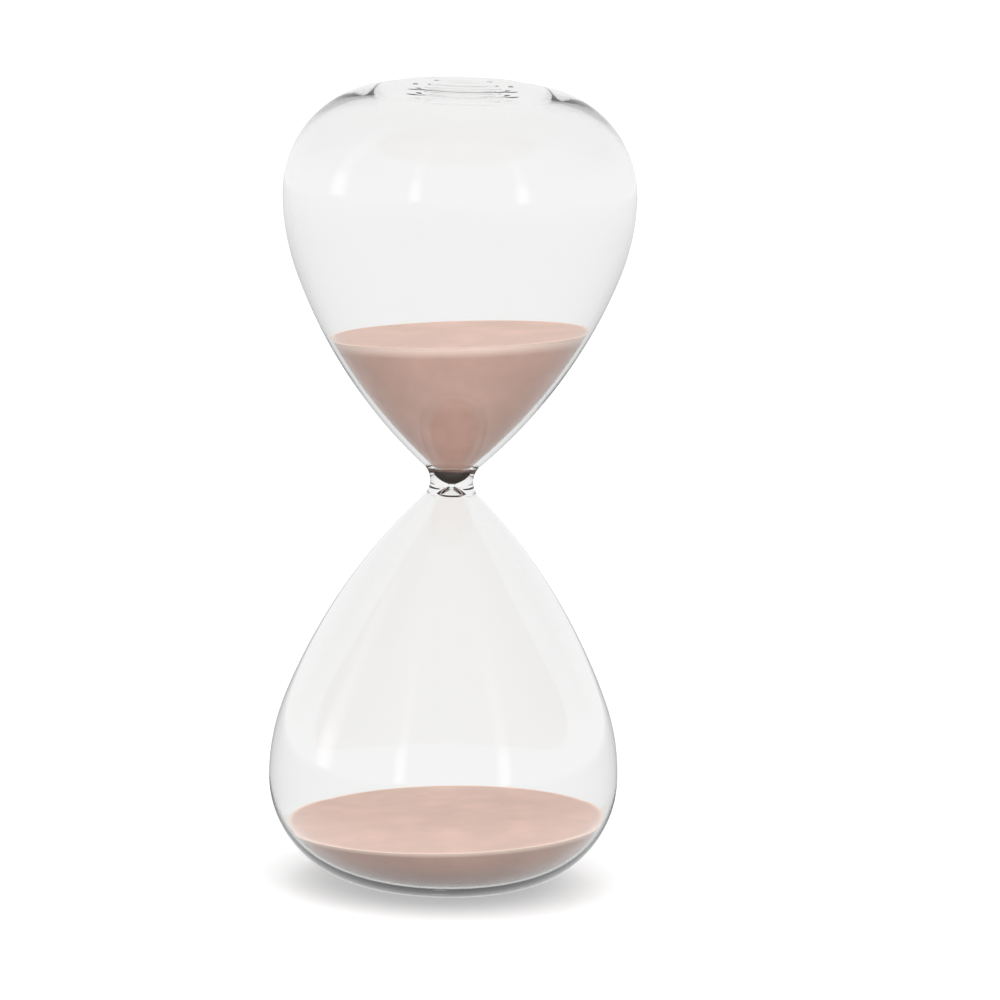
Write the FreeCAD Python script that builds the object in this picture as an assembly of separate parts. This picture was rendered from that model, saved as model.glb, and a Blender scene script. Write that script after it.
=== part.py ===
import FreeCAD, Part
import math
import os

Vector = FreeCAD.Vector

# Frameless hourglass. Millimetres, +Z up, origin on the foot plane under the axis.
# Each bulb is drawn standing on its own end, with its waist at the top; the upper one is
# then turned over. The waist sits a little above mid-height, so the upper bulb is shorter.

# Outside of the glass
HEIGHT = 200.0            # over both flat ends
MAX_DIAMETER = 86.4       # at each bulb's equator
EQUATOR_HEIGHT = 28.0     # equator above the nearer end
FOOT_DIAMETER = 23.8      # outer edge of the flat ring at each end
HEEL_RISE = 1.2           # lowest point of the shoulder circle above the end plane
FLANK_RADIUS = 54.0       # first arc above the equator
FLANK_SWEEP = 21.0        # degrees
WAIST_RISE = 1.5          # narrowest place above mid-height
WAIST_DIAMETER = 10.6     # narrowest outside width
WAIST_FILLET = 5.2        # concave arc round the waist

# Recess inside each flat ring
PUNT_DIAMETER = 20.0
PUNT_ROOF_DIAMETER = 16.0
PUNT_DEPTH = 0.8

# Inside of the glass
WALL = 0.9                # at the equator
BASE_THICKNESS = 2.0      # above the lowest point of the shoulder circle
BORE_DIAMETER = 1.3
BORE_LENGTH = 0.8
THROAT_MOUTH_DIAMETER = 6.4
THROAT_LEDGE = 1.7        # step the upper sand stands on, where bulb meets throat
BOWL_RADIUS = 5.2         # round funnel from the upper mouth to the bore

# Hole the sand was filled through, and the drop of glass that closes it
FILL_HOLE_DIAMETER = 2.6
SEAL_CLEARANCE = 0.05     # round the stem
SEAL_HEAD_DIAMETER = 6.0
SEAL_HEAD_THICKNESS = 0.6

# Sand
SAND_CLEARANCE = 0.06     # off the curved glass
UPPER_SAND_DEPTH = 36.3   # surface above the waist, on the axis
LOWER_SAND_LEVEL = 16.8   # surface above the foot plane, on the axis
UPPER_SAND_TILT = 3.3     # degrees, rising towards +X
LOWER_SAND_TILT = 2.6     # degrees, rising towards +X

# Sizes that follow from the ones above
WAIST_HEIGHT = HEIGHT / 2 + WAIST_RISE
MAX_R = MAX_DIAMETER / 2
SHOULDER_R = EQUATOR_HEIGHT - HEEL_RISE
SHOULDER_CENTRE = Vector(MAX_R - SHOULDER_R, 0, EQUATOR_HEIGHT)
FLANK_CENTRE = Vector(MAX_R - FLANK_RADIUS, 0, EQUATOR_HEIGHT)
LOWER_REACH = WAIST_HEIGHT
UPPER_REACH = HEIGHT - WAIST_HEIGHT
FLOOR_Z = HEEL_RISE + BASE_THICKNESS
INNER_SHOULDER_R = EQUATOR_HEIGHT - FLOOR_Z
INNER_SHOULDER_CENTRE = Vector(MAX_R - WALL - INNER_SHOULDER_R, 0, EQUATOR_HEIGHT)
MOUTH_R = THROAT_MOUTH_DIAMETER / 2
BORE_R = BORE_DIAMETER / 2
SEAL_STEM_R = FILL_HOLE_DIAMETER / 2 - SEAL_CLEARANCE


def on_circle(centre, radius, angle):
    """Point of a circle in the XZ plane, at an angle in degrees from +X towards +Z."""
    turn = math.radians(angle)
    return centre + Vector(math.cos(turn), 0, math.sin(turn)) * radius


def arc(centre, radius, start, end):
    """Arc in the XZ plane between two angles in degrees."""
    middle = (start + end) / 2
    points = [on_circle(centre, radius, angle) for angle in (start, middle, end)]
    return Part.Arc(*points).toShape()


def angle_of(centre, point):
    """Direction from a centre to a point, in degrees from +X towards +Z."""
    offset = point - centre
    return math.degrees(math.atan2(offset.z, offset.x))


def spin(edges):
    """Solid of revolution about Z from a closed chain of edges."""
    face = Part.Face(Part.Wire(edges))
    return face.revolve(Vector(0, 0, 0), Vector(0, 0, 1), 360)


def polyline(points):
    """Straight edges from each point to the next."""
    return [Part.makeLine(a, b) for a, b in zip(points, points[1:])]


def heel_angle():
    """Angle on the shoulder circle where the straight heel from the foot ring touches it."""
    foot_edge = Vector(FOOT_DIAMETER / 2, 0, 0)
    distance = (foot_edge - SHOULDER_CENTRE).Length
    to_foot = angle_of(SHOULDER_CENTRE, foot_edge)
    return to_foot + math.degrees(math.acos(SHOULDER_R / distance))


def outer_taper(reach):
    """Arc from the flank to the waist fillet of a bulb with its waist at a height: centre, radius, end."""
    waist_centre = Vector(WAIST_DIAMETER / 2 + WAIST_FILLET, 0, reach)
    start = on_circle(FLANK_CENTRE, FLANK_RADIUS, FLANK_SWEEP)
    normal = on_circle(Vector(0, 0, 0), 1, FLANK_SWEEP)
    gap = waist_centre - start
    radius = (gap.dot(gap) - WAIST_FILLET ** 2) / (2 * (WAIST_FILLET - gap.dot(normal)))
    centre = start - normal * radius
    return centre, radius, angle_of(centre, waist_centre)


def neck_edge(reach):
    """Outer edge of the plane where a bulb meets the throat."""
    return on_circle(*outer_taper(reach))


def inner_wall(reach, inset):
    """Edges of a bulb's inside from the throat down to the floor, held off by an inset."""
    flank_r = FLANK_RADIUS - WALL - inset
    shoulder_r = INNER_SHOULDER_R - inset
    start = on_circle(FLANK_CENTRE, flank_r, FLANK_SWEEP)
    normal = on_circle(Vector(0, 0, 0), 1, FLANK_SWEEP)
    mouth = Vector(MOUTH_R + THROAT_LEDGE - inset, 0, neck_edge(reach).z)
    gap = mouth - start
    radius = gap.dot(gap) / (-2 * gap.dot(normal))
    centre = start - normal * radius
    return [
        arc(centre, radius, angle_of(centre, mouth), FLANK_SWEEP),
        arc(FLANK_CENTRE, flank_r, FLANK_SWEEP, 0),
        arc(INNER_SHOULDER_CENTRE, shoulder_r, 0, -90),
    ]


def first_point(edges):
    return edges[0].firstVertex(True).Point


def last_point(edges):
    return edges[-1].lastVertex(True).Point


def bulb(reach, hole_r):
    """Bulb on its end: flat ring, heel, shoulder, flank and taper outside, wall inside."""
    taper_centre, taper_r, taper_end = outer_taper(reach)
    outside = polyline([
        Vector(hole_r, 0, PUNT_DEPTH),
        Vector(PUNT_ROOF_DIAMETER / 2, 0, PUNT_DEPTH),
        Vector(PUNT_DIAMETER / 2, 0, 0),
        Vector(FOOT_DIAMETER / 2, 0, 0),
        on_circle(SHOULDER_CENTRE, SHOULDER_R, heel_angle()),
    ])
    outside += [
        arc(SHOULDER_CENTRE, SHOULDER_R, heel_angle(), 0),
        arc(FLANK_CENTRE, FLANK_RADIUS, 0, FLANK_SWEEP),
        arc(taper_centre, taper_r, FLANK_SWEEP, taper_end),
    ]
    inside = inner_wall(reach, 0)
    neck = polyline([neck_edge(reach), first_point(inside)])
    floor = polyline([last_point(inside), Vector(hole_r, 0, FLOOR_Z), Vector(hole_r, 0, PUNT_DEPTH)])
    return spin(outside + neck + inside + floor)


def turned_over(shape):
    """A shape drawn standing on its end, mirrored to hang from the top plane."""
    return shape.mirror(Vector(0, 0, HEIGHT / 2), Vector(0, 0, 1))


def throat_ends():
    """Outer edges of the throat's lower and upper planes."""
    low = neck_edge(LOWER_REACH)
    top = neck_edge(UPPER_REACH)
    return low, Vector(top.x, 0, HEIGHT - top.z)


def bowl_arc(inset):
    """Arc of the round funnel from the throat's upper mouth down to the bore, held off by an inset."""
    centre = Vector(MOUTH_R - BOWL_RADIUS, 0, throat_ends()[1].z)
    radius = BOWL_RADIUS - inset
    sweep = math.degrees(math.acos((BORE_R - inset - centre.x) / radius))
    return arc(centre, radius, 0, -sweep)


def throat():
    """Thick ring between the bulbs: concave waist outside, bowl, bore and cone inside."""
    low, high = throat_ends()
    waist = Part.Arc(low, Vector(WAIST_DIAMETER / 2, 0, WAIST_HEIGHT), high)
    bowl = bowl_arc(0)
    bore_top = last_point([bowl])
    upper_plane = polyline([high, first_point([bowl])])
    lower_side = polyline([
        bore_top,
        Vector(BORE_R, 0, bore_top.z - BORE_LENGTH),
        Vector(MOUTH_R, 0, low.z),
        low,
    ])
    return spin([waist.toShape()] + upper_plane + [bowl] + lower_side)


def fill_seal():
    """Drop of glass: domed head under the recess roof and a stem that fills the hole."""
    rim = Vector(SEAL_HEAD_DIAMETER / 2, 0, PUNT_DEPTH)
    tip = Vector(0, 0, PUNT_DEPTH - SEAL_HEAD_THICKNESS)
    radius = (rim.x ** 2 + SEAL_HEAD_THICKNESS ** 2) / (2 * SEAL_HEAD_THICKNESS)
    centre = Vector(0, 0, tip.z + radius)
    dome = arc(centre, radius, -90, angle_of(centre, rim))
    stem = polyline([
        rim,
        Vector(SEAL_STEM_R, 0, PUNT_DEPTH),
        Vector(SEAL_STEM_R, 0, FLOOR_Z - SEAL_CLEARANCE),
        Vector(0, 0, FLOOR_Z - SEAL_CLEARANCE),
        tip,
    ])
    return spin([dome] + stem)


def below(shape, level, tilt):
    """The part of a shape under a plane that meets the axis at a level and rises towards +X."""
    side = 2 * MAX_DIAMETER
    block = Part.makeBox(2 * side, 2 * side, HEIGHT, Vector(-side, -side, level - HEIGHT))
    block.rotate(Vector(0, 0, level), Vector(0, 1, 0), -tilt)
    return shape.common(block)


def cavity(reach):
    """Space inside a bulb on its end that sand can fill, down to its flat floor."""
    wall = inner_wall(reach, SAND_CLEARANCE)
    heel = last_point(wall)
    mouth = first_point(wall)
    axis = polyline([
        heel,
        Vector(heel.x, 0, FLOOR_Z),
        Vector(0, 0, FLOOR_Z),
        Vector(0, 0, mouth.z),
        mouth,
    ])
    return spin(wall + axis)


def bowl_sand():
    """Sand that reaches from the throat's upper plane down to the bore."""
    side = bowl_arc(SAND_CLEARANCE)
    mouth = first_point([side])
    tip = last_point([side])
    return spin([side] + polyline([tip, Vector(0, 0, tip.z), Vector(0, 0, mouth.z), mouth]))


def upper_sand():
    level = WAIST_HEIGHT + UPPER_SAND_DEPTH
    bulk = below(turned_over(cavity(UPPER_REACH)), level, UPPER_SAND_TILT)
    return bulk.fuse(bowl_sand())


def lower_sand():
    return below(cavity(LOWER_REACH), LOWER_SAND_LEVEL, LOWER_SAND_TILT)


def main():
    parts = {
        "lower_bulb": bulb(LOWER_REACH, FILL_HOLE_DIAMETER / 2),
        "upper_bulb": turned_over(bulb(UPPER_REACH, 0)),
        "throat": throat(),
        "fill_seal": fill_seal(),
        "lower_sand": lower_sand(),
        "upper_sand": upper_sand(),
    }
    os.makedirs("parts", exist_ok=True)
    for node, shape in parts.items():
        shape.exportStep("parts/" + node + ".step")


main()
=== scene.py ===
"""Frameless hourglass: two blown bulbs fused to a thick throat, with fine sand in both."""

import math

import bpy
import numpy as np
from bpy.props import FloatProperty, FloatVectorProperty, PointerProperty
from bpy.types import Operator, Panel, PropertyGroup
from mathutils import Matrix, Vector


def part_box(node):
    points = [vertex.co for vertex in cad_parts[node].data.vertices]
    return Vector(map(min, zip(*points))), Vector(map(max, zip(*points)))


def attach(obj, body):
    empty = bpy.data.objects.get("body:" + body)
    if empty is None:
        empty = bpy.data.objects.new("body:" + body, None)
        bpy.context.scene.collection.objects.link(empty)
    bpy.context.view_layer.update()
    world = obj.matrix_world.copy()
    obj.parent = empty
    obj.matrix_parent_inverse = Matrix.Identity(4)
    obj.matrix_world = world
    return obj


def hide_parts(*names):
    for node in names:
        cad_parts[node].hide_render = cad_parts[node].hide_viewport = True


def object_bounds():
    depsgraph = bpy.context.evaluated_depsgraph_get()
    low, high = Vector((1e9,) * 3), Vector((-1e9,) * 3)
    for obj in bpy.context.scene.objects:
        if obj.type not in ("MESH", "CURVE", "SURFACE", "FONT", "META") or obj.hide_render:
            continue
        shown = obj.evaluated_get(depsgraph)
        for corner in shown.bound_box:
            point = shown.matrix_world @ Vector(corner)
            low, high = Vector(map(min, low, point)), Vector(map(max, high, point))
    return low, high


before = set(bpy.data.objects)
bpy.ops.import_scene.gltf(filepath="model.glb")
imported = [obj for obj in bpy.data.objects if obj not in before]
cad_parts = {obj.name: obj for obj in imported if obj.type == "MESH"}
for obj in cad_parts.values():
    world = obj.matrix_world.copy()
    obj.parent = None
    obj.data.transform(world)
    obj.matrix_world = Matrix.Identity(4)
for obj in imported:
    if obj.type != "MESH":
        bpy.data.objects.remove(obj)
CAD_BOX = [list(corner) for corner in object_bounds()]

bl_info = {
    "name": "Hourglass",
    "version": (1, 0, 0),
    "blender": (4, 5, 0),
    "location": "View3D > Sidebar > Hourglass",
    "description": "Builds a frameless blown-glass hourglass and a plain studio round it",
    "category": "Object",
}

MM = 0.001

# Shape of the glass, in millimetres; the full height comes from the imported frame
SHOULDER_R = 26.8
FLANK_R = 54.0
FLANK_SWEEP = math.radians(21.0)
FOOT_R = 11.9
PUNT_R = 10.0
PUNT_ROOF_R = 8.0
PUNT_DEPTH = 0.8
WAIST_FILLET = 5.2
WAIST_R = 5.3
WAIST_Z = 101.5
MOUTH_R = 3.2
LEDGE = 1.7
BOWL_R = 5.2
BASE_Z = 3.2
BORE_R = 0.65
BORE_LENGTH = 0.8
FILL_HOLE_R = 1.3
SEAL_HEAD_R = 3.0
SEAL_HEAD = 0.6
SEAL_CLEARANCE = 0.05

HEIGHT = CAD_BOX[1][2] / MM
MAX_R = 43.2
EQUATOR = 28.0

# Sand, in millimetres: gap to the glass, surface on the axis and how it rises towards +X
LEFT_FREE = 0.06
UPPER_LEVEL = WAIST_Z + 36.3
LOWER_LEVEL = 16.8
UPPER_TILT = math.radians(3.3)
LOWER_TILT = math.radians(2.6)
UPPER_WAVES = 0.07        # depth of the slow waves on each surface
LOWER_WAVES = 0.10
WAVE_SHARE = 60.0         # what the sum of the waves is divided by
HAIR = 0.001              # lifts the lowest ring off the end of the glass line
WAVE_COUNT = 24
WAVE_LENGTHS = (4.0, 22.0)

# Fineness of the surfaces: faces round the axis, and rings along an outline
TURNS = 160
SEAL_TURNS = 64
SAND_TURNS = 256
TOP_RINGS = 69
TOP_SPACING = 0.8         # below one, the top's rings crowd towards the rim
RIM_LOOKUPS = 12
SIDE_RINGS = 59
# Rings over which the rim's painted highlight fades on either side
RIM_HIGHLIGHT_RINGS = 4
FLOOR_RINGS = 7
WALL_POINTS = 200         # along the glass that the sand follows
WALL_STEP = 0.1
FOOT_POINTS = 100         # of the bulb's outline, kept denser near the foot

# Corners: spacing and softness in millimetres, and the angles past which an edge stays sharp
BULB_SOFTNESS = (0.25, 0.3)
THROAT_SOFTNESS = (0.08, 0.12)
GLASS_EDGE = 35.0
SAND_EDGE = 60.0

# Hand-blown ripple of the bulbs, in millimetres
RIPPLE_DEPTH = 0.02
RIPPLE_WAVES = 6
RIPPLE_FADE_NECK = 20.0
RIPPLE_FADE_FOOT = 12.0
RIPPLE_TWIST = 0.02

# Start of each piece's random draws
SEEDS = {"lower_bulb": 3, "upper_bulb": 8, "lower_sand": 5, "upper_sand": 9}

# Glass's finish
GLASS_IOR = 1.47

# Sand's finish
MOTTLE_SCALE = 90.0
MOTTLE_TONES = (0.9, 1.08)
GRAIN_SCALE = 3600.0
GRAIN_BUMP = 0.0001
# Colour of the painted shade on the sand at the base and in the throat
SHADED_SAND = (0.02, 0.02, 0.015, 1.0)

# Brightness of the sky by bearing, in degrees from the front, left negative
SKY_LEVELS = (
    (-180, 1.0), (-150, 0.85), (-120, 0.6), (-65, 0.6), (-45, 0.85), (0, 1.0),
    (55, 0.85), (75, 0.6), (120, 0.6), (150, 0.85), (180, 1.0),
)

# Tall soft glows that show on the glass: bearing, half width and brightness
GLOWS = ((-86, 9, 2.2), (-29, 5, 2.6), (41, 6, 2.6))

# Share of the glows left at heights from the horizon (0) to overhead (1)
GLOW_FADE = ((0.0, 0.8), (0.04, 1.0), (0.22, 1.0), (0.34, 0.4), (0.6, 0.25), (0.85, 0.0))

# Share of plain backdrop in the sky, by height
BACKDROP_SHARE = ((0.0, 1.0), (0.1, 1.0), (0.4, 0.0))

# Times a ray may turn inside the glass before it is lost
PATH_BOUNCES = 24

# Share of light the floor throws back at the sand, by distance behind the axis in metres
BOUNCE_LEVELS = ((-0.4, 0.8), (-0.1, 0.08), (0.1, 0.08), (0.3, 0.24))

# Brightness of the floor as the glass mirrors it, by distance from the axis in metres
MIRROR_LEVELS = ((0.0, 1.0), (0.05, 0.9), (0.1, 0.25), (0.5, 0.25), (1.5, 0.6), (6.0, 0.95))

# Camera, in metres: where it stands, what it looks at, and its small turns after that
CAMERA_PLACE = (0.0, -1.0554, 0.2450)
CAMERA_TARGET = (0.0, 0.0, 0.1)
CAMERA_LENS = 155.9
CAMERA_ROLL = math.radians(1.658)
CAMERA_YAW = -math.atan(48.44 / 4330.7)
CAMERA_PITCH = -math.atan(13.25 / 4330.7)

# Lamps: the high one by direction and spread in degrees, the front one by place and side
ABOVE_WAY = (0.1, -0.5, 1.0)
ABOVE_SPREAD = 70.0
FRONT_PLACE = (0.0, -1.5, 0.32)
FRONT_SIDE = 0.8
MIDDLE = (0.0, 0.0, 0.11)

# Floor disc: radii of its rings in metres, and faces round it
FLOOR_RADII = (0.2, 1.0, 4.0, 14.0)
FLOOR_TURNS = 96


# ---------------------------------------------------------------- outlines


def arc(centre, radius, start, end, count):
    """Points of a circle, centre plus radius times cosine and sine, between two angles."""
    angles = np.linspace(start, end, count)
    ways = np.column_stack([np.cos(angles), np.sin(angles)])
    return np.asarray(centre) + radius * ways


def angle_to(centre, point):
    """Direction from a centre to a point, from +X towards +Z."""
    return math.atan2(point[1] - centre[1], point[0] - centre[0])


SHOULDER_C = np.array([MAX_R - SHOULDER_R, EQUATOR])
INNER_SHOULDER_R = EQUATOR - BASE_Z
FLANK_C = np.array([MAX_R - FLANK_R, EQUATOR])
FLANK_N = np.array([math.cos(FLANK_SWEEP), math.sin(FLANK_SWEEP)])


def taper(reach):
    """Arc that is tangent to the flank and to the waist's concave arc: centre, radius, end angle."""
    waist = np.array([WAIST_R + WAIST_FILLET, reach])
    start = FLANK_C + FLANK_R * FLANK_N
    gap = waist - start
    radius = (gap @ gap - WAIST_FILLET**2) / (2 * (WAIST_FILLET - gap @ FLANK_N))
    centre = start - radius * FLANK_N
    return centre, radius, angle_to(centre, waist)


def neck_of(reach):
    """Outer edge of the plane where a bulb, drawn on its end, meets the throat."""
    centre, radius, end = taper(reach)
    return centre + radius * np.array([math.cos(end), math.sin(end)])


def inner_outline(reach, wall, inset, count):
    """Inside of a bulb on its end, from the throat to the floor: taper, flank and shoulder arcs."""
    flank_r = FLANK_R - wall - inset
    start = FLANK_C + flank_r * FLANK_N
    mouth = np.array([MOUTH_R + LEDGE - inset, neck_of(reach)[1]])
    gap = mouth - start
    radius = gap @ gap / (-2 * gap @ FLANK_N)
    centre = start - radius * FLANK_N
    inner_centre = (MAX_R - wall - INNER_SHOULDER_R, EQUATOR)
    return np.vstack([
        arc(centre, radius, angle_to(centre, mouth), FLANK_SWEEP, count),
        arc(FLANK_C, flank_r, FLANK_SWEEP, 0.0, count // 3)[1:],
        arc(inner_centre, INNER_SHOULDER_R - inset, 0.0, -math.pi / 2, count)[1:],
    ])


def outer_outline(reach, count):
    """Outside of a bulb on its end, from the recess roof to the throat, with ring and heel."""
    foot = np.array([FOOT_R, 0.0])
    heel = angle_to(SHOULDER_C, foot) + math.acos(SHOULDER_R / math.dist(foot, SHOULDER_C))
    centre, radius, end = taper(reach)
    return np.vstack([
        [[PUNT_ROOF_R, PUNT_DEPTH], [PUNT_R, 0.0], foot],
        arc(SHOULDER_C, SHOULDER_R, heel, 0.0, count),
        arc(FLANK_C, FLANK_R, 0.0, FLANK_SWEEP, count // 3)[1:],
        arc(centre, radius, FLANK_SWEEP, end, count)[1:],
    ])


def even(points, step):
    """The same outline with points a given step apart along its length."""
    gaps = np.hypot(*np.diff(points, axis=0).T)
    along = np.concatenate([[0.0], np.cumsum(gaps)])
    count = max(int(round(along[-1] / step)), 2)
    spots = np.linspace(0.0, along[-1], count + 1)
    return np.column_stack([np.interp(spots, along, points[:, k]) for k in (0, 1)])


def melted(points, step, spread):
    """An outline with its corners softened: a running mean weighted by a bell curve, ends kept."""
    line = even(points, step)
    reach = int(3 * spread / step)
    bell = np.exp(-0.5 * (np.arange(-reach, reach + 1) * step / spread) ** 2)
    bell /= bell.sum()
    padded = np.vstack([
        2 * line[0] - line[reach:0:-1],
        line,
        2 * line[-1] - line[-2:-reach - 2:-1],
    ])
    return np.column_stack([np.convolve(padded[:, k], bell, mode="valid") for k in (0, 1)])


# ---------------------------------------------------------------- meshes


def lathe(outline, turns, ripple=None):
    """Surface of revolution: x = r cos a, y = r sin a, z = z, with r moved by the ripple."""
    angles = np.linspace(0.0, 2 * math.pi, turns, endpoint=False)
    radius = np.repeat(outline[:, :1], turns, axis=1)
    height = np.repeat(outline[:, 1:], turns, axis=1)
    if ripple is not None:
        radius = radius + ripple(angles[None, :], height, radius)
    return np.stack([radius * np.cos(angles), radius * np.sin(angles), height], axis=-1)


def build(name, grid, materials, seam=None, start_pole=False, end_pole=False, sharp=GLASS_EDGE):
    """Mesh object from a grid of rings, whose ends close to a pole or join each other.

    Rows of four-sided faces run between neighbouring rings; the faces are turned over if the
    volume they enclose comes out negative. Bands named in seam take the second material.
    """
    rings, turns = grid.shape[:2]
    points = grid.reshape(-1, 3)
    index = np.arange(rings * turns).reshape(rings, turns)
    right = np.roll(index, -1, axis=1)
    rows = np.stack([index[:-1], right[:-1], right[1:], index[1:]], axis=-1).reshape(-1, 4)
    bands = np.repeat(np.arange(rings - 1), turns)
    faces = [rows]
    poles = []
    if start_pole:
        poles.append((0, grid[0].mean(axis=0)))
    if end_pole:
        poles.append((rings - 1, grid[-1].mean(axis=0)))
    tips = []
    for ring, tip in poles:
        at = np.full(turns, len(points))
        points = np.vstack([points, tip])
        fan = np.stack([index[ring], right[ring], at], axis=-1)
        tips.append(fan[:, ::-1] if ring == 0 else fan)
    if not poles:
        join = np.stack([index[-1], right[-1], right[0], index[0]], axis=-1)
        faces.append(join)
        bands = np.concatenate([bands, np.full(turns, rings - 1)])
    quads = np.vstack(faces)
    fans = np.vstack(tips) if tips else np.empty((0, 3), int)
    a, b, c, d = (points[quads[:, k]] for k in range(4))
    size = np.einsum("ij,ij->", a, np.cross(b, c)) + np.einsum("ij,ij->", a, np.cross(c, d))
    if len(fans):
        e, f, g = (points[fans[:, k]] for k in range(3))
        size += np.einsum("ij,ij->", e, np.cross(f, g))
    if size < 0:
        quads, fans = quads[:, ::-1], fans[:, ::-1]
    mesh = bpy.data.meshes.new(name)
    mesh.from_pydata((points * MM).tolist(), [], quads.tolist() + fans.tolist())
    mesh.polygons.foreach_set("use_smooth", np.ones(len(mesh.polygons), bool))
    for material in materials:
        mesh.materials.append(material)
    if seam is not None:
        slots = np.zeros(len(mesh.polygons), np.int32)
        slots[: len(bands)] = np.isin(bands, seam)
        mesh.polygons.foreach_set("material_index", slots)
    mesh.set_sharp_from_angle(angle=math.radians(sharp))
    mesh.validate()
    mesh.update()
    piece = bpy.data.objects.new(name, mesh)
    bpy.context.scene.collection.objects.link(piece)
    return piece


def mark(piece, label, values):
    """Stores one number per point for the material, zero past the end of the values."""
    full = np.zeros(len(piece.data.vertices), np.float32)
    full[: values.size] = values.ravel()
    piece.data.attributes.new(label, "FLOAT", "POINT").data.foreach_set("value", full)


def stand_for(piece, node):
    """Puts a finished piece in the place of its CAD node."""
    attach(piece, "root")
    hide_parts(node)


def turned_over(grid):
    """The points of a bulb drawn on its end, hung from the top plane instead."""
    flipped = grid.copy()
    flipped[..., 2] = HEIGHT - flipped[..., 2]
    return flipped


# ---------------------------------------------------------------- materials


def fresh_material(name):
    """Material with a Principled shader, and its nodes and links."""
    material = bpy.data.materials.new(name)
    material.use_nodes = True
    nodes = material.node_tree.nodes
    return material, nodes, material.node_tree.links, nodes["Principled BSDF"]


def noise(nodes, links, vector, scale, detail=2.0, roughness=0.5):
    """Noise texture read on a given vector."""
    node = nodes.new("ShaderNodeTexNoise")
    node.inputs["Scale"].default_value = scale
    node.inputs["Detail"].default_value = detail
    node.inputs["Roughness"].default_value = roughness
    links.new(vector, node.inputs["Vector"])
    return node


def glass_material(settings):
    """Clear blown glass, which lets lamps and bounced light through unbent."""
    material, nodes, links, shader = fresh_material("blown_glass")
    shader.inputs["Base Color"].default_value = (*settings.glass_color, 1.0)
    shader.inputs["Roughness"].default_value = 0.0
    shader.inputs["IOR"].default_value = GLASS_IOR
    shader.inputs["Transmission Weight"].default_value = 1.0
    clear = nodes.new("ShaderNodeBsdfTransparent")
    path = nodes.new("ShaderNodeLightPath")
    lamps = nodes.new("ShaderNodeMixShader")
    bounced = nodes.new("ShaderNodeMixShader")
    links.new(path.outputs["Is Shadow Ray"], lamps.inputs["Fac"])
    links.new(shader.outputs["BSDF"], lamps.inputs[1])
    links.new(clear.outputs["BSDF"], lamps.inputs[2])
    links.new(path.outputs["Is Diffuse Ray"], bounced.inputs["Fac"])
    links.new(lamps.outputs["Shader"], bounced.inputs[1])
    links.new(clear.outputs["BSDF"], bounced.inputs[2])
    links.new(bounced.outputs["Shader"], nodes["Material Output"].inputs["Surface"])
    return material


def seam_material():
    """Faces that don't show: fused planes, and the bowl's glass where sand lies against it."""
    material, _, _, shader = fresh_material("fused_seam")
    shader.inputs["Alpha"].default_value = 0.0
    return material


def sand_daylight():
    """Share of the sand's own colour by height in millimetres, the rest painted shade: less at the
    base and in the throat.
    """
    top = throat_ends()[1][1]
    base = ((0.0, 0.1), (BASE_Z, 0.2), (12.5, 1.0), (60.0, 1.0))
    return (*base, (61.0, 0.05), (top - 0.5, 0.05), (top, 1.0))


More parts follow.
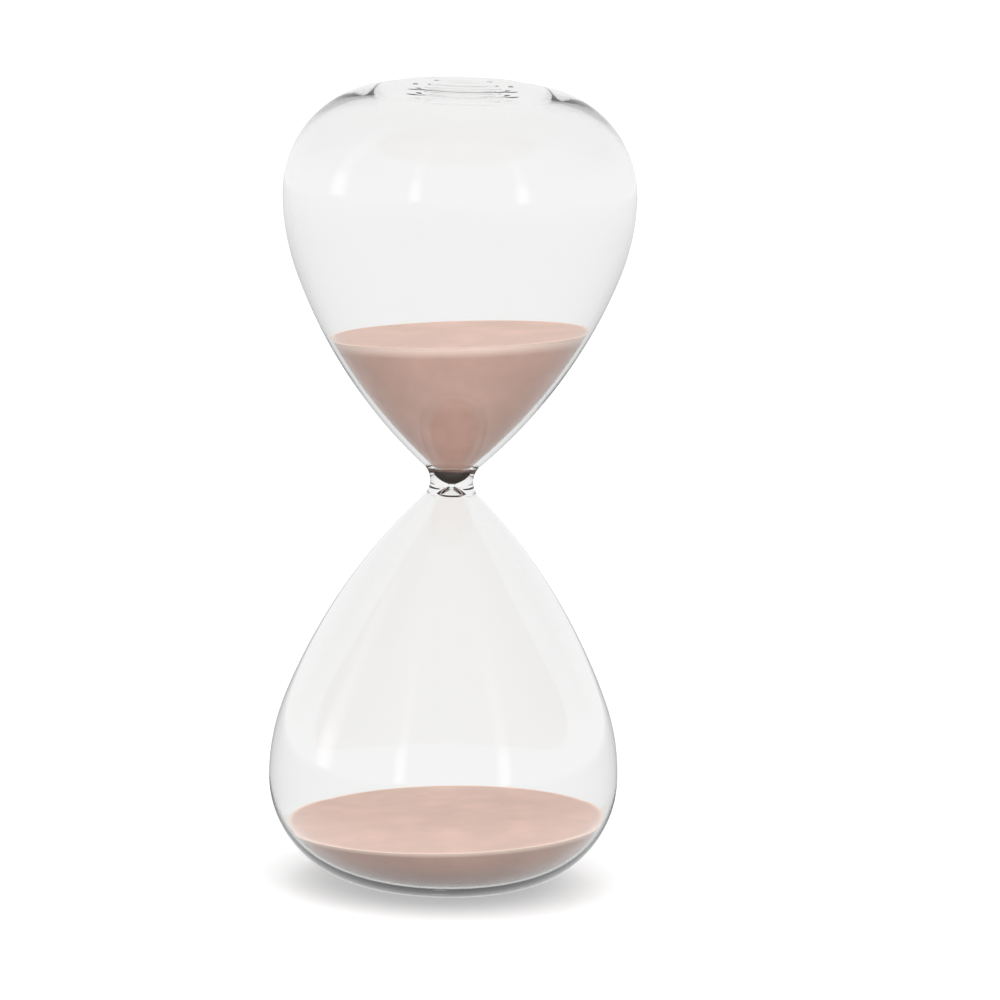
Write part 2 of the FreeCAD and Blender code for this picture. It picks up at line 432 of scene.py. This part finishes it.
def sand_material(settings):
    """Fine dry sand: mixed grains, soft mottling and a grainy surface, with painted shade at the base
    and in the throat, painted light on upward faces and a painted highlight along the rim.
    """
    material, nodes, links, shader = fresh_material("rose_sand")
    place = nodes.new("ShaderNodeTexCoord")
    mottle = noise(nodes, links, place.outputs["Object"], MOTTLE_SCALE, 4.0, 0.6)
    grains = nodes.new("ShaderNodeTexVoronoi")
    grains.inputs["Scale"].default_value = GRAIN_SCALE
    links.new(place.outputs["Object"], grains.inputs["Vector"])
    tone = nodes.new("ShaderNodeValToRGB")
    base = np.array(settings.sand_color)
    tone.color_ramp.elements[0].position = 0.3
    tone.color_ramp.elements[0].color = (*(base * MOTTLE_TONES[0]), 1.0)
    tone.color_ramp.elements[1].position = 0.7
    tone.color_ramp.elements[1].color = (*np.minimum(base * MOTTLE_TONES[1], 1.0), 1.0)
    links.new(mottle.outputs["Fac"], tone.inputs["Fac"])
    # Painted shade: by height, the sand's colour gives way to SHADED_SAND at the base and in the
    # throat
    split = nodes.new("ShaderNodeSeparateXYZ")
    height = nodes.new("ShaderNodeMath")
    height.operation = "DIVIDE"
    height.inputs[1].default_value = HEIGHT * MM
    share = grey_ramp(nodes, [(at / HEIGHT, level) for at, level in sand_daylight()])
    painted_shade = nodes.new("ShaderNodeMix")
    painted_shade.data_type = "RGBA"
    painted_shade.inputs[6].default_value = SHADED_SAND
    links.new(place.outputs["Object"], split.inputs["Vector"])
    links.new(split.outputs["Z"], height.inputs[0])
    links.new(height.outputs["Value"], share.inputs["Fac"])
    links.new(share.outputs["Color"], painted_shade.inputs[0])
    # Painted light: a paler tone screened onto faces that point upwards
    facing = nodes.new("ShaderNodeNewGeometry")
    upward = nodes.new("ShaderNodeSeparateXYZ")
    level = nodes.new("ShaderNodeMapRange")
    level.inputs["From Min"].default_value = 0.3
    level.inputs["From Max"].default_value = 0.9
    painted_top = nodes.new("ShaderNodeMix")
    painted_top.data_type = "RGBA"
    painted_top.blend_type = "SCREEN"
    painted_top.inputs[7].default_value = (*settings.painted_toplight, 1.0)
    links.new(facing.outputs["Normal"], upward.inputs["Vector"])
    links.new(upward.outputs["Z"], level.inputs["Value"])
    links.new(level.outputs["Result"], painted_top.inputs[0])
    links.new(tone.outputs["Color"], painted_top.inputs[6])
    # Painted highlight: a paler colour along the rim, where the rim mark is one
    rim = nodes.new("ShaderNodeAttribute")
    rim.attribute_name = "rim"
    lit = nodes.new("ShaderNodeMix")
    lit.data_type = "RGBA"
    lit.inputs[7].default_value = (*settings.rim_color, 1.0)
    links.new(rim.outputs["Fac"], lit.inputs[0])
    links.new(painted_top.outputs[2], lit.inputs[6])
    links.new(lit.outputs[2], painted_shade.inputs[7])
    links.new(painted_shade.outputs[2], shader.inputs["Base Color"])
    shader.inputs["Roughness"].default_value = 0.9
    shader.inputs["Specular IOR Level"].default_value = 0.3
    bump = nodes.new("ShaderNodeBump")
    bump.inputs["Strength"].default_value = 0.4
    bump.inputs["Distance"].default_value = GRAIN_BUMP
    links.new(grains.outputs["Distance"], bump.inputs["Height"])
    links.new(bump.outputs["Normal"], shader.inputs["Normal"])
    return material


def shared_material(name, make, *values):
    """A material made once and used by every piece of that finish."""
    return bpy.data.materials.get(name) or make(*values)


def glass_pair(settings):
    """Clear glass, and the finish of the faces that don't show."""
    return [
        shared_material("blown_glass", glass_material, settings),
        shared_material("fused_seam", seam_material),
    ]


# ---------------------------------------------------------------- pieces


def bulb_grid(reach, hole, wall, seed):
    """Rings of a bulb from the recess roof, up the outside, across the neck and down the inside."""
    roof = [[hole, PUNT_DEPTH]]
    outside = melted(np.vstack([roof, outer_outline(reach, 90)]), *BULB_SOFTNESS)
    outside[:, 1] = np.maximum(outside[:, 1], 0.0)
    outside[0] = (hole, PUNT_DEPTH)
    keep = np.concatenate([np.arange(0, FOOT_POINTS, 2), np.arange(FOOT_POINTS, len(outside), 4)])
    outside = outside[np.unique(np.append(keep, len(outside) - 1))]
    neck = neck_of(reach)
    outside[-1] = neck
    inside = inner_outline(reach, wall, 0.0, 60)
    floor = np.array([[hole, inside[-1, 1]]])
    seam_ring = len(outside) - 1
    outline = np.vstack([outside, inside, floor])
    draw = np.random.default_rng(seed)
    turn = draw.uniform(0.0, 2 * math.pi, RIPPLE_WAVES)
    depth = draw.uniform(0.4, 1.0, RIPPLE_WAVES)

    def ripple(angle, height, radius):
        """Sum of slow waves round and up the bulb, fading out at the neck and the foot."""
        near_neck = np.clip((neck[1] - height) / RIPPLE_FADE_NECK, 0.0, 1.0)
        near_foot = np.clip(height / RIPPLE_FADE_FOOT, 0.0, 1.0)
        waves = sum(
            depth[k] * np.sin((k + 2) * angle + turn[k] + height * RIPPLE_TWIST * (k + 1))
            for k in range(RIPPLE_WAVES)
        )
        return RIPPLE_DEPTH * waves * near_neck * near_foot * np.minimum(radius / MAX_R, 1.0)

    return lathe(outline, TURNS, ripple), seam_ring, len(outline) - 1


def make_bulb(name, node, hole, upper):
    """Builds one bulb; its two open ends, at the neck and at the filling hole, are fused seams."""
    settings = bpy.context.scene.hourglass_glass
    reach = HEIGHT - WAIST_Z if upper else WAIST_Z
    grid, neck_seam, hole_seam = bulb_grid(reach, hole, settings.wall / MM, SEEDS[node])
    if upper:
        grid = turned_over(grid)
    open_foot = hole > 0
    seams = [neck_seam, hole_seam] if open_foot else [neck_seam]
    piece = build(name, grid, glass_pair(settings), seams, not open_foot, not open_foot)
    stand_for(piece, node)


def throat_ends():
    """Outer edges of the throat's lower and upper planes."""
    top = neck_of(HEIGHT - WAIST_Z)
    return neck_of(WAIST_Z), np.array([top[0], HEIGHT - top[1]])


def bowl_arc(inset, count):
    """Round funnel from the throat's upper mouth down to the bore, held off by an inset."""
    centre = (MOUTH_R - BOWL_R, throat_ends()[1][1])
    radius = BOWL_R - inset
    return arc(centre, radius, 0.0, -math.acos((BORE_R - inset - centre[0]) / radius), count)


def throat_grid():
    """Rings of the throat: concave waist outside, ledge, bowl, bore and cone inside.

    Also gives the bands of its two fused ends, and those of the bowl that the sand lies against.
    """
    low, high = throat_ends()
    centre = (WAIST_R + WAIST_FILLET, WAIST_Z)
    start, end = (angle_to(centre, edge) % (2 * math.pi) for edge in (low, high))
    waist = arc(centre, WAIST_FILLET, start, end, 41)
    ledge = MOUTH_R + LEDGE
    bowl = bowl_arc(0.0, 40)
    bore_end = bowl[-1] - (0.0, BORE_LENGTH)
    inside = melted(np.vstack([bowl, [bore_end], [[MOUTH_R, low[1]]]]), *THROAT_SOFTNESS)
    outline = np.vstack([waist, [[ledge, high[1]]], inside, [[ledge, low[1]]]])
    upper_seam = len(waist) - 1
    bowl_end = upper_seam + 2 + int(np.argmin(np.abs(inside[:, 1] - bowl[-1, 1])))
    touched = range(upper_seam + 2, bowl_end)
    return lathe(outline, TURNS), upper_seam, len(outline) - 1, touched


def sand_grid(bulb_line, level, tilt, bottom, seed, sag):
    """Rings of a sand body, from the axis out to the rim and then down the glass.

    The top is a tilted plane, level plus slope times x, with slow waves that die out at the rim.
    The rim is where that plane meets the glass, found by repeated lookup.
    """
    angles = np.linspace(0.0, 2 * math.pi, SAND_TURNS, endpoint=False)
    heights, radii = bulb_line
    slope = math.tan(tilt)
    rim = np.interp(level, heights, radii) * np.ones(SAND_TURNS)
    for _ in range(RIM_LOOKUPS):
        rim = np.interp(level + slope * rim * np.cos(angles), heights, radii)
    spread = np.linspace(0.0, 1.0, TOP_RINGS + 1)[1:] ** TOP_SPACING
    top_r = spread[:, None] * rim
    x, y = top_r * np.cos(angles), top_r * np.sin(angles)
    draw = np.random.default_rng(seed)
    waves = np.zeros_like(x)
    for _ in range(WAVE_COUNT):
        length = draw.uniform(*WAVE_LENGTHS)
        way = draw.uniform(0.0, 2 * math.pi)
        phase = draw.uniform(0.0, 2 * math.pi)
        along = x * math.cos(way) + y * math.sin(way)
        waves += length * np.sin(2 * math.pi * along / length + phase)
    waves *= sag / WAVE_SHARE
    top_z = level + slope * x + waves * (1 - spread[:, None] ** 6)
    rim_z = level + slope * rim * np.cos(angles)
    drop = np.linspace(0.0, 1.0, SIDE_RINGS + 1)[1:]
    side_z = rim_z + (bottom - rim_z) * drop[:, None]
    side_r = np.interp(side_z, heights, radii)
    top = np.stack([x, y, top_z], axis=-1)
    side = np.stack([side_r * np.cos(angles), side_r * np.sin(angles), side_z], axis=-1)
    return np.vstack([top, side])


def rim_highlight_marks():
    """Mark of the painted highlight: one at a sand body's rim, falling to nothing over a few rings on
    either side.
    """
    gap = np.abs(np.arange(TOP_RINGS + RIM_HIGHLIGHT_RINGS) - TOP_RINGS)
    return np.repeat(np.clip(1.0 - gap / RIM_HIGHLIGHT_RINGS, 0.0, 1.0)[:, None], SAND_TURNS, axis=1)


class HOURGLASS_OT_bulbs(Operator):
    """Build the lower and the upper glass bulb"""

    bl_idname = "hourglass.bulbs"
    bl_label = "Glass bulbs"

    def execute(self, context):
        make_bulb("lower_bulb_glass", "lower_bulb", FILL_HOLE_R, False)
        make_bulb("upper_bulb_glass", "upper_bulb", 0.0, True)
        return {"FINISHED"}


class HOURGLASS_OT_throat(Operator):
    """Build the thick ring of glass between the bulbs"""

    bl_idname = "hourglass.throat"
    bl_label = "Throat"

    def execute(self, context):
        grid, upper_seam, lower_seam, touched = throat_grid()
        settings = context.scene.hourglass_glass
        piece = build("throat_glass", grid, glass_pair(settings), [upper_seam, lower_seam, *touched])
        stand_for(piece, "throat")
        return {"FINISHED"}


class HOURGLASS_OT_fill_seal(Operator):
    """Build the drop of glass that closes the filling hole"""

    bl_idname = "hourglass.fill_seal"
    bl_label = "Fill seal"

    def execute(self, context):
        settings = context.scene.hourglass_glass
        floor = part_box("fill_seal")[1][2] / MM
        radius = (SEAL_HEAD_R**2 + SEAL_HEAD**2) / (2 * SEAL_HEAD)
        centre = (0.0, PUNT_DEPTH - SEAL_HEAD + radius)
        edge = angle_to(centre, (SEAL_HEAD_R, PUNT_DEPTH))
        head = arc(centre, radius, -math.pi / 2, edge, 16)[1:]
        stem_r = FILL_HOLE_R - SEAL_CLEARANCE
        outline = np.vstack([head, [[stem_r, PUNT_DEPTH], [stem_r, floor]]])
        last = len(outline) - 2
        grid = lathe(outline, SEAL_TURNS)
        piece = build("fill_seal_glass", grid, glass_pair(settings), [last], True, True)
        stand_for(piece, "fill_seal")
        return {"FINISHED"}


class HOURGLASS_OT_sand(Operator):
    """Build the sand in both bulbs"""

    bl_idname = "hourglass.sand"
    bl_label = "Sand"

    def execute(self, context):
        settings = context.scene.hourglass_sand
        wall = context.scene.hourglass_glass.wall / MM
        sand = shared_material("rose_sand", sand_material, settings)
        line = even(inner_outline(WAIST_Z, wall, LEFT_FREE, WALL_POINTS), WALL_STEP)[::-1]
        heights, radii = line[:, 1], line[:, 0]
        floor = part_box("lower_sand")[0][2] / MM
        bottom = heights[0] + HAIR
        seed = SEEDS["lower_sand"]
        lower = sand_grid((heights, radii), LOWER_LEVEL, LOWER_TILT, bottom, seed, LOWER_WAVES)
        base = lower[-1].copy()
        base[:, 2] = floor
        shrink = np.linspace(1.0, 0.0, FLOOR_RINGS + 1)[:-1]
        rings = np.stack([base * [s, s, 1.0] for s in shrink])
        lower = np.concatenate([lower, rings])
        piece = build("lower_sand_grains", lower, [sand], None, True, True, SAND_EDGE)
        # The rim mark places the painted highlight
        mark(piece, "rim", rim_highlight_marks())
        stand_for(piece, "lower_sand")
        line = even(inner_outline(HEIGHT - WAIST_Z, wall, LEFT_FREE, WALL_POINTS), WALL_STEP)
        heights, radii = HEIGHT - line[:, 1], line[:, 0]
        bottom = heights[0]
        seed = SEEDS["upper_sand"]
        upper = sand_grid((heights, radii), UPPER_LEVEL, UPPER_TILT, bottom, seed, UPPER_WAVES)
        tail = bowl_arc(LEFT_FREE, 30)
        tail = np.vstack([tail, [tail[-1] * (0.5, 1.0)]])
        upper = np.concatenate([upper, lathe(tail, SAND_TURNS)])
        piece = build("upper_sand_grains", upper, [sand], None, True, True, SAND_EDGE)
        # The rim mark places the painted highlight
        mark(piece, "rim", rim_highlight_marks())
        stand_for(piece, "upper_sand")
        return {"FINISHED"}


# ---------------------------------------------------------------- studio


def add_hidden(lamp):
    """Puts a lamp in the scene so that neither the camera nor the glass shows it."""
    lamp.visible_camera = False
    lamp.visible_glossy = False
    lamp.visible_transmission = False
    bpy.context.scene.collection.objects.link(lamp)


def hidden_box(name, place, target, width, height, radiance):
    """Rectangular lamp that faces a point and lights the sand, but shows nowhere itself."""
    data = bpy.data.lights.new(name, "AREA")
    data.shape = "RECTANGLE"
    data.size = width
    data.size_y = height
    data.energy = radiance * width * height * math.pi
    lamp = bpy.data.objects.new(name, data)
    lamp.location = place
    lamp.rotation_euler = (Vector(target) - Vector(place)).to_track_quat("-Z", "Y").to_euler()
    add_hidden(lamp)


def hidden_sun(name, way, spread, strength):
    """Even soft light from one side of the sky, which doesn't show on the glass."""
    data = bpy.data.lights.new(name, "SUN")
    data.angle = math.radians(spread)
    data.energy = strength * math.pi
    lamp = bpy.data.objects.new(name, data)
    lamp.rotation_euler = (-Vector(way)).to_track_quat("-Z", "Y").to_euler()
    add_hidden(lamp)


def grey_ramp(nodes, stops):
    """Colour ramp node through grey levels at given places."""
    node = nodes.new("ShaderNodeValToRGB")
    ramp = node.color_ramp
    while len(ramp.elements) < len(stops):
        ramp.elements.new(0.5)
    for element, (place, level) in zip(ramp.elements, stops):
        element.position = place
        element.color = (level, level, level, 1.0)
    return node


def make_floor(settings):
    """Wide flat disc under the object; what it shows depends on the kind of ray that meets it."""
    rings = len(FLOOR_RADII)
    grid = lathe(np.column_stack([np.array(FLOOR_RADII) / MM, np.zeros(rings)]), FLOOR_TURNS)
    points = grid.reshape(-1, 3) * MM
    mesh = bpy.data.meshes.new("floor")
    index = np.arange(rings * FLOOR_TURNS).reshape(rings, FLOOR_TURNS)
    right = np.roll(index, -1, axis=1)
    faces = np.stack([index[:-1], index[1:], right[1:], right[:-1]], axis=-1).reshape(-1, 4)
    mesh.from_pydata(points.tolist(), [], faces.tolist() + [index[0].tolist()])
    floor = bpy.data.objects.new("floor", mesh)
    bpy.context.scene.collection.objects.link(floor)
    material, nodes, links, shader = fresh_material("pale_floor")
    shader.inputs["Base Color"].default_value = (*[settings.floor_seen] * 3, 1.0)
    shader.inputs["Roughness"].default_value = 0.9
    shader.inputs["Specular IOR Level"].default_value = 0.1
    place = nodes.new("ShaderNodeTexCoord")
    split = nodes.new("ShaderNodeSeparateXYZ")
    links.new(place.outputs["Object"], split.inputs["Vector"])
    away = nodes.new("ShaderNodeVectorMath")
    away.operation = "LENGTH"
    links.new(place.outputs["Object"], away.inputs[0])

    def by_distance(socket, stops):
        """Grey level along a distance in metres."""
        near, far = stops[0][0], stops[-1][0]
        reach = nodes.new("ShaderNodeMapRange")
        reach.inputs["From Min"].default_value = near
        reach.inputs["From Max"].default_value = far
        ramp = grey_ramp(nodes, [((place - near) / (far - near), level) for place, level in stops])
        links.new(socket, reach.inputs["Value"])
        links.new(reach.outputs["Result"], ramp.inputs["Fac"])
        return ramp.outputs["Color"]

    def glow(strength, color=None):
        """Plain light of a strength, white unless a colour socket is given."""
        node = nodes.new("ShaderNodeEmission")
        node.inputs["Strength"].default_value = strength
        if color is not None:
            links.new(color, node.inputs["Color"])
        return node.outputs["Emission"]

    raised = nodes.new("ShaderNodeAddShader")
    links.new(shader.outputs["BSDF"], raised.inputs[0])
    links.new(glow(settings.floor_lift), raised.inputs[1])
    bounce = nodes.new("ShaderNodeBsdfDiffuse")
    links.new(by_distance(split.outputs["Y"], BOUNCE_LEVELS), bounce.inputs["Color"])
    mirrored = glow(1.0, by_distance(away.outputs["Value"], MIRROR_LEVELS))
    path = nodes.new("ShaderNodeLightPath")
    result = glow(settings.floor_through)
    for kind, other in (
        ("Is Reflection Ray", mirrored),
        ("Is Diffuse Ray", bounce.outputs["BSDF"]),
        ("Is Camera Ray", raised.outputs["Shader"]),
    ):
        mix = nodes.new("ShaderNodeMixShader")
        links.new(path.outputs[kind], mix.inputs["Fac"])
        links.new(result, mix.inputs[1])
        links.new(other, mix.inputs[2])
        result = mix.outputs["Shader"]
    links.new(result, nodes["Material Output"].inputs["Surface"])
    mesh.materials.append(material)


def glow_stops():
    """Levels by bearing of the soft glows: each rises from nothing to its peak and back."""
    stops = [(-180, 0.0)]
    for bearing, width, level in GLOWS:
        stops += [(bearing - width, 0.0), (bearing - width / 3, level), (bearing + width / 3, level)]
        stops += [(bearing + width, 0.0)]
    return stops + [(180, 0.0)]


def make_world(settings):
    """Sky with dim sides, soft glows and a plain backdrop low down, as the glass mirrors it.

    The camera sees plain white, and rays bent by the glass see one even tone.
    """
    world = bpy.data.worlds.new("studio")
    bpy.context.scene.world = world
    world.use_nodes = True
    nodes, links = world.node_tree.nodes, world.node_tree.links
    place = nodes.new("ShaderNodeTexCoord")
    split = nodes.new("ShaderNodeSeparateXYZ")
    links.new(place.outputs["Generated"], split.inputs["Vector"])
    front = nodes.new("ShaderNodeMath")
    front.operation = "MULTIPLY"
    front.inputs[1].default_value = -1.0
    links.new(split.outputs["Y"], front.inputs[0])
    bearing = nodes.new("ShaderNodeMath")
    bearing.operation = "ARCTAN2"
    links.new(split.outputs["X"], bearing.inputs[0])
    links.new(front.outputs["Value"], bearing.inputs[1])
    turn = nodes.new("ShaderNodeMapRange")
    turn.inputs["From Min"].default_value = -math.pi
    turn.inputs["From Max"].default_value = math.pi
    links.new(bearing.outputs["Value"], turn.inputs["Value"])

    def by_bearing(stops):
        """Grey level along bearings in degrees."""
        ramp = grey_ramp(nodes, [((degrees + 180) / 360, level) for degrees, level in stops])
        links.new(turn.outputs["Result"], ramp.inputs["Fac"])
        return ramp.outputs["Color"]

    def by_height(stops):
        """Grey level from the horizon (0) to overhead (1)."""
        ramp = grey_ramp(nodes, stops)
        links.new(split.outputs["Z"], ramp.inputs["Fac"])
        return ramp.outputs["Color"]

    def blend(kind, share, first, second):
        """Mixes two colours; each input is a socket or a plain number."""
        mix = nodes.new("ShaderNodeMix")
        mix.data_type = "RGBA"
        mix.blend_type = kind
        for index, value in ((0, share), (6, first), (7, second)):
            if isinstance(value, bpy.types.NodeSocket):
                links.new(value, mix.inputs[index])
            else:
                mix.inputs[index].default_value = value if index == 0 else (value, value, value, 1.0)
        return mix.outputs[2]

    base = blend("MIX", by_height(BACKDROP_SHARE), by_bearing(SKY_LEVELS), settings.backdrop)
    glow = blend("MULTIPLY", 1.0, by_bearing(glow_stops()), by_height(GLOW_FADE))
    sky = nodes["Background"]
    sky.inputs["Strength"].default_value = settings.sky
    links.new(blend("ADD", 1.0, base, glow), sky.inputs["Color"])
    plain = nodes.new("ShaderNodeBackground")
    plain.inputs["Color"].default_value = (1.0, 1.0, 1.0, 1.0)
    path = nodes.new("ShaderNodeLightPath")
    seen = nodes.new("ShaderNodeMixShader")
    links.new(path.outputs["Is Camera Ray"], seen.inputs["Fac"])
    links.new(sky.outputs["Background"], seen.inputs[1])
    links.new(plain.outputs["Background"], seen.inputs[2])
    through = nodes.new("ShaderNodeBackground")
    through.inputs["Color"].default_value = (1.0, 1.0, 1.0, 1.0)
    through.inputs["Strength"].default_value = settings.sky_through
    bent = nodes.new("ShaderNodeMixShader")
    links.new(path.outputs["Is Transmission Ray"], bent.inputs["Fac"])
    links.new(seen.outputs["Shader"], bent.inputs[1])
    links.new(through.outputs["Background"], bent.inputs[2])
    links.new(bent.outputs["Shader"], nodes["World Output"].inputs["Surface"])


def make_camera():
    """Camera at the viewing angle, turned a little so that the object stands off centre."""
    data = bpy.data.cameras.new("camera")
    data.sensor_width = 36.0
    data.lens = CAMERA_LENS
    data.clip_start = 0.05
    data.clip_end = 60.0
    camera = bpy.data.objects.new("camera", data)
    bpy.context.scene.collection.objects.link(camera)
    place = Vector(CAMERA_PLACE)
    aim = (Vector(CAMERA_TARGET) - place).to_track_quat("-Z", "Y").to_matrix().to_4x4()
    roll = Matrix.Rotation(CAMERA_ROLL, 4, "Z")
    yaw = Matrix.Rotation(CAMERA_YAW, 4, "Y")
    pitch = Matrix.Rotation(CAMERA_PITCH, 4, "X")
    camera.matrix_world = Matrix.Translation(place) @ aim @ roll @ yaw @ pitch
    bpy.context.scene.camera = camera


class HOURGLASS_OT_stage(Operator):
    """Set up the floor, the lamps and the camera"""

    bl_idname = "hourglass.stage"
    bl_label = "Floor, lamps and camera"

    def execute(self, context):
        settings = context.scene.hourglass_stage
        context.scene.view_settings.view_transform = "Standard"
        paths = context.scene.cycles
        paths.max_bounces = PATH_BOUNCES
        paths.glossy_bounces = PATH_BOUNCES
        paths.transmission_bounces = PATH_BOUNCES
        paths.transparent_max_bounces = PATH_BOUNCES
        make_floor(settings)
        make_world(settings)
        make_camera()
        hidden_sun("lamp_above", ABOVE_WAY, ABOVE_SPREAD, settings.above)
        hidden_box("lamp_front", FRONT_PLACE, MIDDLE, FRONT_SIDE, FRONT_SIDE, settings.front)
        return {"FINISHED"}


# ---------------------------------------------------------------- settings and panel


class HourglassGlass(PropertyGroup):
    """Settings of the glass pieces"""

    wall: FloatProperty(
        name="Wall",
        description="Thickness of the bulb's wall",
        default=0.0009,
        unit="LENGTH",
    )
    glass_color: FloatVectorProperty(
        name="Glass colour",
        description="Tint of the glass",
        default=(0.985, 0.99, 0.985),
        subtype="COLOR",
    )


class HourglassSand(PropertyGroup):
    """Settings of the sand"""

    # Painted highlight along the sand's rim
    rim_color: FloatVectorProperty(
        name="Rim colour",
        description="Paler sand banked up at the rim",
        default=(0.98, 0.76, 0.66),
        subtype="COLOR",
    )
    sand_color: FloatVectorProperty(
        name="Sand colour",
        description="Colour of the sand",
        default=(0.62, 0.385, 0.315),
        subtype="COLOR",
    )
    # Painted light on the sand's upward faces
    painted_toplight: FloatVectorProperty(
        name="Toplight",
        description="Paler tone added on the level top",
        default=(0.05, 0.095, 0.09),
        subtype="COLOR",
    )


class HourglassStage(PropertyGroup):
    """Settings of the floor, the sky and the lamps"""

    sky: FloatProperty(
        name="Sky",
        description="Brightness of the sky",
        default=0.8,
    )
    sky_through: FloatProperty(
        name="Sky through glass",
        description="Sky seen through glass",
        default=0.92,
    )
    backdrop: FloatProperty(
        name="Backdrop",
        description="Brightness of the sky low down",
        default=1.12,
    )
    above: FloatProperty(
        name="Light from above",
        description="Strength of the high soft light",
        default=0.6,
    )
    front: FloatProperty(
        name="Light from the front",
        description="Brightness of the front soft light",
        default=3.2,
    )
    floor_through: FloatProperty(
        name="Floor through glass",
        description="Floor seen through glass",
        default=0.93,
    )
    floor_seen: FloatProperty(
        name="Floor shade",
        description="Share of the floor that takes shadow",
        default=0.62,
    )
    floor_lift: FloatProperty(
        name="Floor lift",
        description="Even glow of the floor",
        default=0.40,
    )


class HOURGLASS_PT_panel(Panel):
    """Buttons for the hourglass's pieces"""

    bl_label = "Hourglass"
    bl_idname = "HOURGLASS_PT_panel"
    bl_space_type = "VIEW_3D"
    bl_region_type = "UI"
    bl_category = "Hourglass"

    def draw(self, context):
        for group in GROUPS:
            settings = getattr(context.scene, group)
            for name in settings.bl_rna.properties.keys():
                if name not in ("rna_type", "name"):
                    self.layout.prop(settings, name)
        for step in STEPS:
            self.layout.operator(step.bl_idname)


STEPS = (
    HOURGLASS_OT_bulbs,
    HOURGLASS_OT_throat,
    HOURGLASS_OT_fill_seal,
    HOURGLASS_OT_sand,
    HOURGLASS_OT_stage,
)
GROUPS = {
    "hourglass_glass": HourglassGlass,
    "hourglass_sand": HourglassSand,
    "hourglass_stage": HourglassStage,
}
CLASSES = (*GROUPS.values(), *STEPS, HOURGLASS_PT_panel)


def register():
    for cls in CLASSES:
        bpy.utils.register_class(cls)
    for name, group in GROUPS.items():
        setattr(bpy.types.Scene, name, PointerProperty(type=group))


def unregister():
    for name in GROUPS:
        delattr(bpy.types.Scene, name)
    for cls in reversed(CLASSES):
        bpy.utils.unregister_class(cls)


def main():
    register()
    bpy.ops.hourglass.bulbs()
    bpy.ops.hourglass.throat()
    bpy.ops.hourglass.fill_seal()
    bpy.ops.hourglass.sand()
    bpy.ops.hourglass.stage()
    bpy.context.view_layer.update()


if __name__ == "__main__":
    main()
